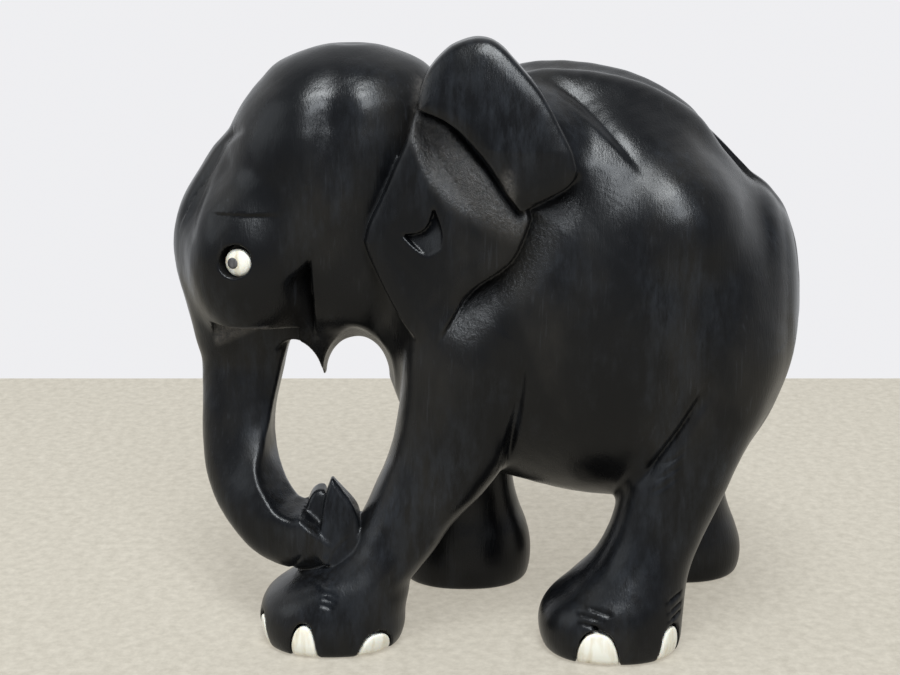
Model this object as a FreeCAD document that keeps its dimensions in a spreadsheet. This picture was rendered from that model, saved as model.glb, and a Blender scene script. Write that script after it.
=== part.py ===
# A carved ebony elephant, walking, with bone eyes and bone toenails let into the wood.
#
# The elephant faces -Y, its left side is +X and +Z is up. The origin is on the ground, at the middle
# of the figure's own box. Lengths are in millimetres and angles in degrees.
#
# One block of wood is the whole animal: torso, head, trunk, ears, legs and tail. Everything else is
# an inlay glued into a socket cut in that block: a bone disc and a dark pupil pin for each eye, and
# a bone tab for each toenail.
import FreeCAD, Part
import os

import Sketcher
from FreeCAD import Placement, Rotation, Vector

doc = FreeCAD.newDocument("carved_elephant")

# ------------------------------------------------------------------ driving dimensions

DIMENSIONS = {
    # the torso
    "back_height": (120.0, "ground to the top of the back"),
    "belly_height": (28.0, "ground to the underside of the belly"),
    "barrel_width": (68.0, "widest part of the belly"),
    "chest_front": (-21.0, "Y of the front of the chest"),
    "rump_back": (64.6, "Y of the back of the rump"),
    # the head
    "head_top": (124.0, "ground to the top of the dome"),
    "head_bottom": (62.0, "ground to where the head has become trunk"),
    "head_width": (45.0, "across the cheeks"),
    "face_front": (-66.5, "Y of the bulge of the forehead"),
    "nape": (-9.0, "Y of the back of the dome"),
    "jaw_bottom": (60.0, "ground to the underside of the jaw"),
    "jaw_length": (30.0, "chin to throat"),
    "lip_along": (-36.0, "Y of the pointed lower lip"),
    "lip_drop": (6.0, "how far the lower lip hangs below the jaw"),
    # the trunk
    "trunk_width": (15.0, "across the trunk half way down"),
    "trunk_along": (-53.5, "Y of the middle of the hanging trunk"),
    "trunk_floor": (21.0, "ground to the middle of the curl's lowest part"),
    "trunk_swing": (15.5, "how far the curl swings to the elephant's left"),
    "curl_reach": (21.0, "hanging trunk to the end of the curl, along Y"),
    "finger_height": (34.0, "ground to the tip of the pointed finger"),
    # the ears
    "ear_front": (-24.0, "Y of an ear's front edge"),
    "ear_length": (30.0, "an ear's front edge to its back edge"),
    "ear_tip": (66.5, "ground to an ear's lower tip"),
    "left_ear_height": (52.0, "the left ear's lower tip to its upper corner"),
    "right_ear_height": (48.0, "the right ear's lower tip to its upper corner"),
    "ear_face": (22.5, "X of an ear's face at its front edge"),
    "ear_thickness": (7.0, "an ear's face to its back"),
    "ear_flare": (21.0, "how far an ear stands out behind, as an angle"),
    "ear_corner": (4.0, "rounding of an ear's corners"),
    "fold_stand": (2.0, "how far the fold stands off the ear's face"),
    # the legs
    "foot_length": (29.0, "length of a sole"),
    "foot_width": (28.0, "width of a sole"),
    "knee_height": (24.0, "ground to the thinnest part of a foreleg"),
    "hock_height": (23.0, "ground to the thinnest part of a hind leg"),
    "front_stance": (40.0, "between the centres of the front soles"),
    "rear_stance": (47.0, "between the centres of the rear soles"),
    "leg_tuck": (8.0, "how far a leg's top lies inside its sole"),
    "shoulder_along": (-3.5, "Y of both shoulders"),
    "hip_along": (44.5, "Y of both hips"),
    "front_left_sole": (-32.5, "Y of the sole's centre"),
    "front_right_sole": (-4.0, "Y of the sole's centre"),
    "rear_left_sole": (26.5, "Y of the sole's centre"),
    "rear_right_sole": (45.0, "Y of the sole's centre"),
    # the tail
    "tail_top": (97.0, "ground to the root of the tail"),
    "tail_bottom": (52.0, "ground to the tip of the tail"),
    "tail_width": (6.0, "across the tail"),
    # the inlays
    "eye_along": (-51.5, "Y of an eye's centre"),
    "eye_height": (81.0, "ground to an eye's centre"),
    "eye_side": (20.0, "X of an eye's rim"),
    "eye_yaw": (24.0, "how far the eyes look forward of sideways"),
    "eye_width": (5.8, "bone disc"),
    "eye_depth": (3.0, "bone disc, rim to back"),
    "eye_dome": (0.5, "how far the disc's face is domed"),
    "socket_width": (7.2, "mouth of the eye socket"),
    "pupil_width": (2.0, "dark pin"),
    "pupil_depth": (1.8, "depth of the pin's hole"),
    "pupil_forward": (0.8, "pin's centre forward of the disc's centre"),
    "nail_width": (7.4, "bone tab"),
    "nail_height": (7.0, "bone tab"),
    "nail_depth": (3.0, "bone tab, face to back"),
    "nail_lift": (0.4, "ground to the bottom of a nail"),
    "glue_gap": (0.05, "glue line round an inlay"),
}

sheet = doc.addObject("Spreadsheet::Sheet", "Dims")
for row, (alias, (value, meaning)) in enumerate(DIMENSIONS.items(), start=1):
    sheet.set(f"A{row}", alias)
    sheet.set(f"B{row}", str(value))
    sheet.set(f"C{row}", meaning)
    sheet.setAlias(f"B{row}", alias)
doc.recompute()


def between(low, high, share):
    """The expression for a place that is a share of the way from one expression to another."""
    return f"({low}) + (({high}) - ({low})) * {share}"


# ------------------------------------------------------------------ limbs through oval sections

FLAT = Rotation(Vector(0, 0, 1), 90)  # an oval on the level, its long axis along Y
UPRIGHT = Rotation(Vector(0, 0, 1), Vector(1, 0, 0), Vector(0, 1, 0), "ZXY")  # long axis along Z


def oval(name, centre, half_long, half_short, turn=FLAT):
    """One oval section. Its centre and its half sizes are expressions."""
    section = doc.addObject("Part::Ellipse", name)
    section.Placement = Placement(Vector(), turn)
    section.setExpression("MajorRadius", half_long)
    section.setExpression("MinorRadius", half_short)
    for axis, place in zip("xyz", centre):
        section.setExpression(f"Placement.Base.{axis}", place)
    return section


def limb(name, sections):
    """A smooth solid through oval sections."""
    loft = doc.addObject("Part::Loft", name)
    loft.Sections = sections
    loft.Solid = True
    loft.Ruled = False
    return loft


def make_torso():
    """Upright sections from the chest to the rump: share of the length, the section's bottom and
    top as shares of belly to back, and its width as a share of the barrel's."""
    stations = [
        (0.00, 0.25, 0.68, 0.42),
        (0.08, 0.15, 0.89, 0.66),
        (0.19, 0.08, 0.98, 0.82),
        (0.33, 0.03, 1.00, 0.94),
        (0.49, 0.00, 1.00, 1.00),
        (0.65, 0.00, 0.93, 1.00),
        (0.79, 0.04, 0.84, 0.94),
        (0.89, 0.08, 0.77, 0.80),
        (0.96, 0.16, 0.66, 0.56),
        (1.00, 0.32, 0.50, 0.20),
    ]
    sections = []
    for number, (along, bottom, top, width) in enumerate(stations):
        centre_height = between("Dims.belly_height", "Dims.back_height", (bottom + top) / 2)
        half_height = f"(Dims.back_height - Dims.belly_height) * {(top - bottom) / 2}"
        centre = ("0 mm", between("Dims.chest_front", "Dims.rump_back", along), centre_height)
        half_width = f"Dims.barrel_width / 2 * {width}"
        sections.append(oval(f"torso_{number}", centre, half_height, half_width, UPRIGHT))
    return limb("torso", sections)


def make_head():
    """Level sections from the dome down into the trunk: share of the height, the section's front
    and back as shares of face to nape, and its width as a share of the cheeks'."""
    stations = [
        (1.00, 0.55, 0.77, 0.24),
        (0.91, 0.37, 0.95, 0.62),
        (0.74, 0.24, 1.00, 0.89),
        (0.55, 0.09, 1.00, 0.98),
        (0.36, 0.01, 0.92, 1.00),
        (0.16, 0.02, 0.78, 0.90),
        (0.00, 0.08, 0.48, 0.50),
    ]
    sections = []
    for number, (height, front, back, width) in enumerate(stations):
        centre_along = between("Dims.face_front", "Dims.nape", (front + back) / 2)
        centre = ("0 mm", centre_along, between("Dims.head_bottom", "Dims.head_top", height))
        half_length = f"(Dims.nape - Dims.face_front) * {(back - front) / 2}"
        half_width = f"Dims.head_width / 2 * {width}"
        sections.append(oval(f"head_{number}", centre, half_length, half_width))
    return limb("head", sections)


def make_jaw():
    """A rounded jaw under the head that runs back into the throat."""
    jaw = doc.addObject("Part::Ellipsoid", "jaw")
    jaw.setExpression("Radius1", "Dims.jaw_length * 0.45")
    jaw.setExpression("Radius2", "Dims.head_width * 0.3")
    jaw.setExpression("Radius3", "Dims.jaw_length * 0.55")
    jaw.setExpression("Placement.Base.y", "Dims.lip_along + Dims.jaw_length / 3")
    jaw.setExpression("Placement.Base.z", "Dims.jaw_bottom + Dims.jaw_length * 0.45")
    return jaw


def make_lip():
    """The pointed lower lip that hangs from the jaw."""
    lip = doc.addObject("Part::Cone", "lower_lip")
    lip.Placement = Placement(Vector(), Rotation(Vector(1, 0, 0), 180))
    lip.setExpression("Radius1", "Dims.lip_drop")
    lip.setExpression("Radius2", "Dims.lip_drop * 0.1")
    lip.setExpression("Height", "Dims.lip_drop * 2")
    lip.setExpression("Placement.Base.y", "Dims.lip_along")
    lip.setExpression("Placement.Base.z", "Dims.jaw_bottom + Dims.lip_drop")
    return lip


def make_trunk():
    """Sections square to the trunk, from inside the head to the end of the curl: height as a share
    of floor to head, reach as a share of the curl's, swing, tilt from level and thickness."""
    stations = [
        (1.20, 0.14, 0.00, 0, 1.45),
        (1.00, 0.05, 0.00, 0, 1.28),
        (0.83, 0.02, 0.05, 0, 1.12),
        (0.63, 0.00, 0.15, 0, 1.00),
        (0.43, 0.00, 0.38, 5, 0.95),
        (0.27, 0.05, 0.62, 20, 0.91),
        (0.11, 0.22, 0.86, 48, 0.87),
        (0.01, 0.50, 1.00, 80, 0.83),
        (0.02, 0.78, 1.00, 100, 0.86),
        (0.10, 1.00, 1.00, 125, 0.76),
    ]
    sections = []
    for number, (height, reach, swing, tilt, thickness) in enumerate(stations):
        centre = (
            f"Dims.trunk_swing * {swing}",
            f"Dims.trunk_along + Dims.curl_reach * {reach}",
            between("Dims.trunk_floor", "Dims.head_bottom", height),
        )
        radius = f"Dims.trunk_width / 2 * {thickness}"
        turn = Rotation(Vector(1, 0, 0), tilt)
        sections.append(oval(f"trunk_{number}", centre, radius, radius, turn))
    return limb("trunk", sections)


def make_finger(name, reach, height, root, tip):
    """One finger of the trunk's end: a cone that stands up from the curl."""
    finger = doc.addObject("Part::Cone", name)
    finger.setExpression("Radius1", f"Dims.trunk_width * {root}")
    finger.setExpression("Radius2", f"Dims.trunk_width * {tip}")
    finger.setExpression("Height", f"(Dims.finger_height - Dims.trunk_floor) * {height}")
    finger.setExpression("Placement.Base.x", "Dims.trunk_swing")
    finger.setExpression("Placement.Base.y", f"Dims.trunk_along + Dims.curl_reach * {reach}")
    finger.setExpression("Placement.Base.z", "Dims.trunk_floor")
    return finger


def make_leg(name, side, stance, sole_along, root_along, thin_height, stations):
    """Level sections from the sole up into the body: height in thin_heights, how far the section
    leans along Y from its sole to its shoulder or hip, how far it is tucked in towards the middle,
    and thickness as a share of the sole's."""
    sections = []
    for number, (height, lean, tuck, thickness) in enumerate(stations):
        centre = (
            f"{side} * (Dims.{stance} / 2 - Dims.leg_tuck * {tuck})",
            between(f"Dims.{sole_along}", f"Dims.{root_along}", lean),
            f"Dims.{thin_height} * {height}",
        )
        half_length = f"Dims.foot_length / 2 * {thickness}"
        half_width = f"Dims.foot_width / 2 * {thickness}"
        sections.append(oval(f"{name}_{number}", centre, half_length, half_width))
    return limb(name, sections)


FORELEG = [
    (0.00, 0.00, 0.00, 1.00),
    (0.25, 0.00, 0.00, 1.06),
    (0.58, 0.12, 0.08, 0.90),
    (1.00, 0.45, 0.28, 0.75),
    (1.40, 0.68, 0.36, 0.78),
    (1.90, 0.88, 0.38, 0.87),
    (2.50, 0.98, 0.50, 0.97),
    (3.20, 1.04, 0.90, 0.86),
    (3.70, 1.06, 1.50, 0.55),
]
HIND_LEG = [
    (0.00, 0.00, 0.00, 1.00),
    (0.25, 0.00, 0.00, 1.04),
    (0.45, 0.06, 0.04, 0.96),
    (0.70, 0.27, 0.15, 0.77),
    (1.00, 0.47, 0.28, 0.71),
    (1.43, 0.68, 0.40, 0.74),
    (1.80, 0.84, 0.52, 0.84),
    (2.25, 0.97, 0.66, 0.95),
    (2.75, 1.00, 0.85, 1.00),
    (3.30, 0.95, 1.30, 0.85),
    (3.80, 0.85, 1.90, 0.55),
]


def make_tail():
    """The tail, carved lying down the middle of the rump: height as a share of tip to root, how
    far it lies forward of the rump's back, and thickness."""
    stations = [
        (1.00, 1.10, 0.70),
        (0.75, 0.35, 0.90),
        (0.45, 0.12, 0.90),
        (0.20, 0.15, 0.80),
        (0.00, 0.30, 0.55),
    ]
    sections = []
    for number, (height, forward, thickness) in enumerate(stations):
        along = f"Dims.rump_back - Dims.tail_width * {forward}"
        centre = ("0 mm", along, between("Dims.tail_bottom", "Dims.tail_top", height))
        radius = f"Dims.tail_width / 2 * {thickness}"
        sections.append(oval(f"tail_{number}", centre, radius, radius, Rotation()))
    return limb("tail", sections)


# ------------------------------------------------------------------ pieces from sketches

ORIGIN = (-1, 1)  # the root point of a sketch, as its constraints name it
LEVEL_AXIS = -1


def new_body(name, role):
    """A Body with one empty sketch on one of its own origin planes."""
    body = doc.addObject("PartDesign::Body", name)
    sketch = body.newObject("Sketcher::SketchObject", f"{name}_sketch")
    plane = next(item for item in body.Origin.OriginFeatures if item.Role == role)
    sketch.AttachmentSupport = [(plane, "")]
    sketch.MapMode = "FlatFace"
    return body, sketch


def bind(sketch, constraint, expression):
    """Adds a constraint that has a size and binds the size to an expression."""
    index = sketch.addConstraint(constraint)
    sketch.setExpression(f"Constraints[{index}]", expression)


def extrude(body, kind, sketch, forward, backward):
    """A Pad or Pocket of a sketch that reaches forward and backward of the sketch's plane."""
    feature = body.newObject(f"PartDesign::{kind}", f"{sketch.Name}_{kind.lower()}")
    feature.Profile = sketch
    feature.SideType = "Two sides"
    feature.setExpression("Length", forward)
    feature.setExpression("Length2", backward)
    doc.recompute()
    return feature


def draw_circle(sketch, radius, forward="0", side=1):
    """A circle whose centre lies a distance forward of the sketch's root point."""
    circle = sketch.addGeometry(Part.Circle(Vector(-side, 0, 0), Vector(0, 0, 1), 1), False)
    bind(sketch, Sketcher.Constraint("Radius", circle, 1.0), radius)
    if forward == "0":
        sketch.addConstraint(Sketcher.Constraint("Coincident", circle, 3, *ORIGIN))
        return
    sketch.addConstraint(Sketcher.Constraint("PointOnObject", circle, 3, LEVEL_AXIS))
    ends = (circle, 3, *ORIGIN) if side > 0 else (*ORIGIN, circle, 3)
    bind(sketch, Sketcher.Constraint("DistanceX", *ends, 1.0), forward)


# ------------------------------------------------------------------ the ears

OUTLINE_MARGIN = 1  # an ear's outline starts this far inside its sketch, so no distance is zero

# Corners as shares: behind the ear's front edge in ear lengths, above its tip in ear heights.
LEAF_CORNERS = [(0.00, 0.40), (0.38, 0.00), (0.82, 0.25), (1.00, 0.48), (0.75, 0.95), (0.33, 0.95)]
FOLD_CORNERS = [(0.38, 0.88), (0.80, 0.72), (1.02, 0.50), (1.42, 0.70), (0.90, 1.16), (0.50, 1.17)]


def make_ear_leaf(name, corners, height, forward, backward):
    """One flat leaf of an ear on the left side: its face reaches forward of the ear's plane, its
    back is lost in the neck, and its corners are rounded."""
    body, sketch = new_body(name, "YZ_Plane")
    scale = [("Dims.ear_length", 30.0), (height, 50.0)]
    count = len(corners)
    spots = []
    for corner in corners:
        rough = [OUTLINE_MARGIN + share * size for share, (cell, size) in zip(corner, scale)]
        spots.append(Vector(*rough, 0))
    for i in range(count):
        sketch.addGeometry(Part.LineSegment(spots[i], spots[(i + 1) % count]), False)
    for i in range(count):
        sketch.addConstraint(Sketcher.Constraint("Coincident", i, 2, (i + 1) % count, 1))
    for i, corner in enumerate(corners):
        for kind, share, (cell, size) in zip(("DistanceX", "DistanceY"), corner, scale):
            rough = OUTLINE_MARGIN + share * size
            distance = Sketcher.Constraint(kind, *ORIGIN, i, 1, rough)
            bind(sketch, distance, f"{cell} * {share} + {OUTLINE_MARGIN}")
    pad = extrude(body, "Pad", sketch, forward, backward)
    corner_edges = [
        f"Edge{number}"
        for number, edge in enumerate(pad.Shape.Edges, start=1)
        if abs(edge.tangentAt(edge.FirstParameter).x) > 0.99
    ]
    fillet = body.newObject("PartDesign::Fillet", f"{name}_corners")
    fillet.Base = (pad, corner_edges)
    fillet.setExpression("Radius", "Dims.ear_corner")
    body.Placement = Placement(Vector(), Rotation(Vector(0, 0, -1), 1))
    body.setExpression("Placement.Rotation.Angle", "Dims.ear_flare")
    body.setExpression("Placement.Base.x", "Dims.ear_face")
    body.setExpression("Placement.Base.y", f"Dims.ear_front - {OUTLINE_MARGIN}")
    body.setExpression("Placement.Base.z", f"Dims.ear_tip - {OUTLINE_MARGIN}")
    return body


def mirrored(name, source):
    """The same solid on the elephant's other side."""
    copy = doc.addObject("Part::Mirroring", name)
    copy.Source = source
    copy.Normal = Vector(1, 0, 0)
    return copy


def make_ear(side_name):
    """A diamond leaf with its upper back edge folded over it, both standing on the left side."""
    height = f"Dims.{side_name}_ear_height"
    leaf = make_ear_leaf(f"{side_name}_leaf", LEAF_CORNERS, height, "0.1", "Dims.ear_thickness")
    fold = make_ear_leaf(f"{side_name}_fold", FOLD_CORNERS, height, "Dims.fold_stand", "Dims.ear_thickness")
    return leaf, fold


def make_ears():
    """Both ears. The right one is cut a little lower than the left."""
    right_leaf, right_fold = make_ear("right")
    return [*make_ear("left"), mirrored("right_ear", right_leaf), mirrored("right_ear_fold", right_fold)]


# ------------------------------------------------------------------ the toenails

SPRING_HEIGHT = "Dims.nail_lift + Dims.nail_height - Dims.nail_width / 2"
NAIL_DROP = "Dims.nail_height - Dims.nail_width / 2"
SOCKET_DROP = f"{SPRING_HEIGHT} + 1"  # a nail's socket runs out through the sole


def make_arch(name, foot, angle, drop, gap):
    """An arched tab on the rim of a sole, half inside the foot and half outside it. angle runs
    from straight ahead round to the foot's outer side, drop is the length of the tab's straight
    sides, and gap is what a socket adds all round."""
    body, sketch = new_body(name, "XZ_Plane")
    lower_left, lower_right = Vector(-1, -1, 0), Vector(1, -1, 0)
    spring_left, spring_right = Vector(-1, 0, 0), Vector(1, 0, 0)
    sketch.addGeometry(Part.LineSegment(lower_left, lower_right), False)
    sketch.addGeometry(Part.LineSegment(lower_right, spring_right), False)
    sketch.addGeometry(Part.Arc(spring_right, Vector(0, 1, 0), spring_left), False)
    sketch.addGeometry(Part.LineSegment(spring_left, lower_left), False)
    sketch.addConstraint(Sketcher.Constraint("Coincident", 0, 2, 1, 1))
    sketch.addConstraint(Sketcher.Constraint("Tangent", 1, 2, 2, 1))
    sketch.addConstraint(Sketcher.Constraint("Tangent", 2, 2, 3, 1))
    sketch.addConstraint(Sketcher.Constraint("Coincident", 3, 2, 0, 1))
    sketch.addConstraint(Sketcher.Constraint("Coincident", 2, 3, *ORIGIN))
    sketch.addConstraint(Sketcher.Constraint("Horizontal", 0))
    sketch.addConstraint(Sketcher.Constraint("Vertical", 1))
    bind(sketch, Sketcher.Constraint("Radius", 2, 1.0), f"Dims.nail_width / 2 + {gap}")
    bind(sketch, Sketcher.Constraint("DistanceY", 1, 1, 1, 2, 1.0), drop)
    extrude(body, "Pad", sketch, "Dims.nail_depth", f"Dims.nail_depth + {gap}")
    side, stance, sole_along = foot
    body.Placement = Placement(Vector(), Rotation(Vector(0, 0, 1), side * angle))
    outward = f"Dims.{stance} / 2 + Dims.foot_width / 2 * sin({angle})"
    body.setExpression("Placement.Base.x", f"{side} * ({outward})")
    forward = f"Dims.foot_length / 2 * cos({angle})"
    body.setExpression("Placement.Base.y", f"Dims.{sole_along} - {forward}")
    body.setExpression("Placement.Base.z", SPRING_HEIGHT)
    return body


def make_nail(name, leg, foot, angle):
    """A bone toenail, its face flush with the foot, and the socket that it sits in."""
    blank = make_arch(f"{name}_blank", foot, angle, NAIL_DROP, "0")
    nail = doc.addObject("Part::Common", name)
    nail.Base = blank
    nail.Tool = leg
    socket = make_arch(f"{name}_socket", foot, angle, SOCKET_DROP, "Dims.glue_gap")
    return nail, socket


# ------------------------------------------------------------------ the eyes


def look_sideways(body, side):
    """Stands a part of an eye at the eye, with its own X axis pointing out of the head."""
    turn = "-Dims.eye_yaw" if side > 0 else "180 + Dims.eye_yaw"
    body.Placement = Placement(Vector(), Rotation(Vector(0, 0, 1), 1))
    body.setExpression("Placement.Rotation.Angle", turn)
    body.setExpression("Placement.Base.x", f"{side} * Dims.eye_side")
    body.setExpression("Placement.Base.y", "Dims.eye_along")
    body.setExpression("Placement.Base.z", "Dims.eye_height")


def round_face(body, feature, name, radius):
    """Rounds the outermost edge of a turned part."""
    rim = max(
        range(len(feature.Shape.Edges)),
        key=lambda i: feature.Shape.Edges[i].BoundBox.XMin,
    )
    fillet = body.newObject("PartDesign::Fillet", name)
    fillet.Base = (feature, [f"Edge{rim + 1}"])
    fillet.setExpression("Radius", radius)
    doc.recompute()
    return fillet


def make_eye_disc(name, side):
    """A bone disc with a rounded face and an off-centre hole for the pupil."""
    body, sketch = new_body(name, "YZ_Plane")
    draw_circle(sketch, "Dims.eye_width / 2")
    pad = extrude(body, "Pad", sketch, "Dims.eye_dome", "Dims.eye_depth")
    round_face(body, pad, f"{name}_rounding", "Dims.eye_dome * 2")
    hole = body.newObject("Sketcher::SketchObject", f"{name}_hole")
    hole.AttachmentSupport = sketch.AttachmentSupport
    hole.MapMode = "FlatFace"
    draw_circle(hole, "Dims.pupil_width / 2 + Dims.glue_gap", "Dims.pupil_forward", side)
    whole_disc = body.Shape.Volume
    extrude(body, "Pocket", hole, "Dims.pupil_depth", "Dims.eye_dome * 2")
    if not body.Shape.Volume < whole_disc:
        raise RuntimeError(f"{name}: the pupil's hole cuts nothing")
    look_sideways(body, side)
    return body


def make_pupil(name, side):
    """A dark pin with a rounded end, a little proud of the disc."""
    body, sketch = new_body(name, "YZ_Plane")
    draw_circle(sketch, "Dims.pupil_width / 2", "Dims.pupil_forward", side)
    depth = "Dims.pupil_depth - Dims.glue_gap"
    pad = extrude(body, "Pad", sketch, "Dims.eye_dome + Dims.glue_gap * 2", depth)
    round_face(body, pad, f"{name}_rounding", "Dims.eye_dome / 2")
    look_sideways(body, side)
    return body


def make_eye_socket(name, side):
    """A stepped hole: a wide mouth, and a seat that fits the disc."""
    body, sketch = new_body(name, "YZ_Plane")
    draw_circle(sketch, "Dims.eye_width / 2 + Dims.glue_gap")
    extrude(body, "Pad", sketch, "Dims.eye_depth", "Dims.eye_depth + Dims.glue_gap")
    mouth = body.newObject("Sketcher::SketchObject", f"{name}_mouth")
    mouth.AttachmentSupport = sketch.AttachmentSupport
    mouth.MapMode = "FlatFace"
    draw_circle(mouth, "Dims.socket_width / 2")
    extrude(body, "Pad", mouth, "Dims.eye_depth", "Dims.eye_depth / 2")
    look_sideways(body, side)
    return body


# ------------------------------------------------------------------ the whole elephant


def fused(name, solids):
    """Several solids as one."""
    fusion = doc.addObject("Part::MultiFuse", name)
    fusion.Shapes = solids
    return fusion


LEFT, RIGHT = 1, -1
FEET = {
    "front_left": (LEFT, "front_stance", "front_left_sole"),
    "front_right": (RIGHT, "front_stance", "front_right_sole"),
    "rear_left": (LEFT, "rear_stance", "rear_left_sole"),
    "rear_right": (RIGHT, "rear_stance", "rear_right_sole"),
}
# Where each nail stands on its foot, from straight ahead round to the outer side.
FORE_NAILS = {"inner": 16, "middle": 68, "outer": 130}
HIND_NAILS = {"middle": 75, "outer": 143}

legs, nails, sockets = [], [], []
for foot_name, foot in FEET.items():
    is_front = foot_name.startswith("front")
    root, thin_height = ("shoulder_along", "knee_height") if is_front else ("hip_along", "hock_height")
    side, stance, sole_along = foot
    stations = FORELEG if is_front else HIND_LEG
    leg = make_leg(f"{foot_name}_leg", side, stance, sole_along, root, thin_height, stations)
    legs.append(leg)
    for place, angle in (FORE_NAILS if is_front else HIND_NAILS).items():
        nail, socket = make_nail(f"{foot_name}_{place}_nail", leg, foot, angle)
        nails.append(nail)
        sockets.append(socket)

eyes = []
for side_name, side in (("left", LEFT), ("right", RIGHT)):
    eyes.append(make_eye_disc(f"{side_name}_eye_disc", side))
    eyes.append(make_pupil(f"{side_name}_pupil", side))
    sockets.append(make_eye_socket(f"{side_name}_eye_socket", side))

fingers = [
    make_finger("pointed_finger", 0.96, 1.00, 0.40, 0.03),
    make_finger("rounded_finger", 0.74, 0.75, 0.36, 0.16),
]
block = fused(
    "block",
    [make_torso(), make_head(), make_jaw(), make_lip(), make_trunk(), make_tail()]
    + fingers
    + legs
    + make_ears(),
)
carved_body = doc.addObject("Part::Cut", "carved_body")
carved_body.Base = block
carved_body.Tool = fused("sockets", sockets)

# ------------------------------------------------------------------ checks and files

pieces = [carved_body] + eyes + nails
for piece in pieces:
    piece.Label = piece.Name
doc.recompute()

for item in doc.Objects:
    if "Invalid" in item.State or "Error" in item.State:
        raise RuntimeError(f"{item.Name} failed to compute: {item.State}")
for piece in pieces:
    shape = piece.Shape
    if shape.isNull() or not shape.isValid() or len(shape.Solids) != 1:
        raise RuntimeError(f"{piece.Label} isn't one valid solid")

os.makedirs("parts", exist_ok=True)
for piece in pieces:
    piece.Shape.exportStep(f"parts/{piece.Label}.step")
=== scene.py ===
"""A carved ebony elephant with bone eyes and bone toenails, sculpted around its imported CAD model.

The carving is a distance field: muscles, legs, head, trunk and ears are solid shapes melted together,
then cut, chipped and scratched as a carver would. The field is meshed, and the mesh stands for the
CAD block. The inlays are separate pieces that sit where their CAD nodes sit.

The field's own units are millimetres of a figure DESIGN_HEIGHT tall: -y is forward, +x is the
elephant's left, +z is up, and the origin is on the ground. MM turns them into the frame's metres.
"""
import math

import bpy
import numpy as np
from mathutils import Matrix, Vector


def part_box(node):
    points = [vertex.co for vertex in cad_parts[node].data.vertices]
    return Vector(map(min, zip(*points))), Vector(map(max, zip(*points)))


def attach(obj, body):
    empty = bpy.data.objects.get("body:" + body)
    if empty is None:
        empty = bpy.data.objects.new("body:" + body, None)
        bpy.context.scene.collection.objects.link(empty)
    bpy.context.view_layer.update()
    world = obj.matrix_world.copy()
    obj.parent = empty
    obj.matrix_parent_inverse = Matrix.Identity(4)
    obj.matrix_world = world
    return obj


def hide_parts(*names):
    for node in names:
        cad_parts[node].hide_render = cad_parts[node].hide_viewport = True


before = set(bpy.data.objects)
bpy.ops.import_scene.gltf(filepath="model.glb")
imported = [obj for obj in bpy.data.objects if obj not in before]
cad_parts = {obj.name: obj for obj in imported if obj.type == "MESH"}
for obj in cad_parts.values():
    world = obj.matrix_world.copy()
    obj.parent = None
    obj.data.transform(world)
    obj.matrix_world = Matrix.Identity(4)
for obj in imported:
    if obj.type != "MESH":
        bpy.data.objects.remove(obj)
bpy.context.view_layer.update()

import openvdb
from mathutils import Vector

DESIGN_HEIGHT = 127.2
block_low, block_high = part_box("carved_body")
MM = (block_high.z - block_low.z) / DESIGN_HEIGHT

QUICK_VOXEL, FINE_VOXEL = 0.7, 0.45
VOXEL = FINE_VOXEL
BLOCK = 8  # voxels along one side of a block that is filled or skipped as a whole
REACH = 8.0  # a shape is worked out this far around its own box

# ---------------------------------------------------------------------------- smooth arithmetic


def soft_min(a, b, melt):
    """The union of two fields, melted together over a width."""
    h = np.clip(0.5 + 0.5 * (b - a) / melt, 0.0, 1.0)
    return b + (a - b) * h - melt * h * (1.0 - h)


def soft_max(a, b, melt):
    return -soft_min(-a, -b, melt)


def ease(value, low, high):
    """0 below low, 1 above high, and a smooth rise between."""
    t = np.clip((value - low) / (high - low), 0.0, 1.0)
    return t * t * (3.0 - 2.0 * t)


def bump(value, middle, width):
    """A bell of height 1."""
    return np.exp(-(((value - middle) / width) ** 2))


class Track:
    """Smooth columns of numbers against their first column."""

    def __init__(self, stations, steps=160):
        rows = np.array(stations, float)
        knots = rows[:, 0]
        values = rows[:, 1:]
        slopes = np.gradient(values, knots, axis=0)
        self.knots = np.linspace(knots[0], knots[-1], steps)
        left = np.clip(np.searchsorted(knots, self.knots, side="right") - 1, 0, len(knots) - 2)
        span = (knots[left + 1] - knots[left])[:, None]
        t = ((self.knots - knots[left]) / span[:, 0])[:, None]
        self.values = (
            (2 * t**3 - 3 * t**2 + 1) * values[left]
            + (t**3 - 2 * t**2 + t) * span * slopes[left]
            + (3 * t**2 - 2 * t**3) * values[left + 1]
            + (t**3 - t**2) * span * slopes[left + 1]
        )

    def __call__(self, key):
        return [np.interp(key, self.knots, column) for column in self.values.T]

    def ends(self):
        return self.knots[0], self.knots[-1]


def smooth_path(points, steps_per_span=8, closed=False):
    """A curve through points, as a dense polyline."""
    p = np.array(points, float)
    if len(p) == 2 and not closed:
        return p
    if closed:
        p = np.vstack([p[-1], p, p[0], p[1]])
    else:
        p = np.vstack([2 * p[0] - p[1], p, 2 * p[-1] - p[-2]])
    t = np.linspace(0, 1, steps_per_span, endpoint=False)[:, None]
    spans = []
    for a, b, c, d in zip(p[:-3], p[1:-2], p[2:-1], p[3:]):
        square, cube = 2 * a - 5 * b + 4 * c - d, 3 * b - a - 3 * c + d
        spans.append(0.5 * (2 * b + (c - a) * t + square * t**2 + cube * t**3))
    dense = np.vstack(spans)
    return dense if closed else np.vstack([dense, p[-2]])


def outline(*runs):
    """A closed outline made of curved runs that meet at corners."""
    return np.vstack([smooth_path(run)[:-1] for run in runs])


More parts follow.
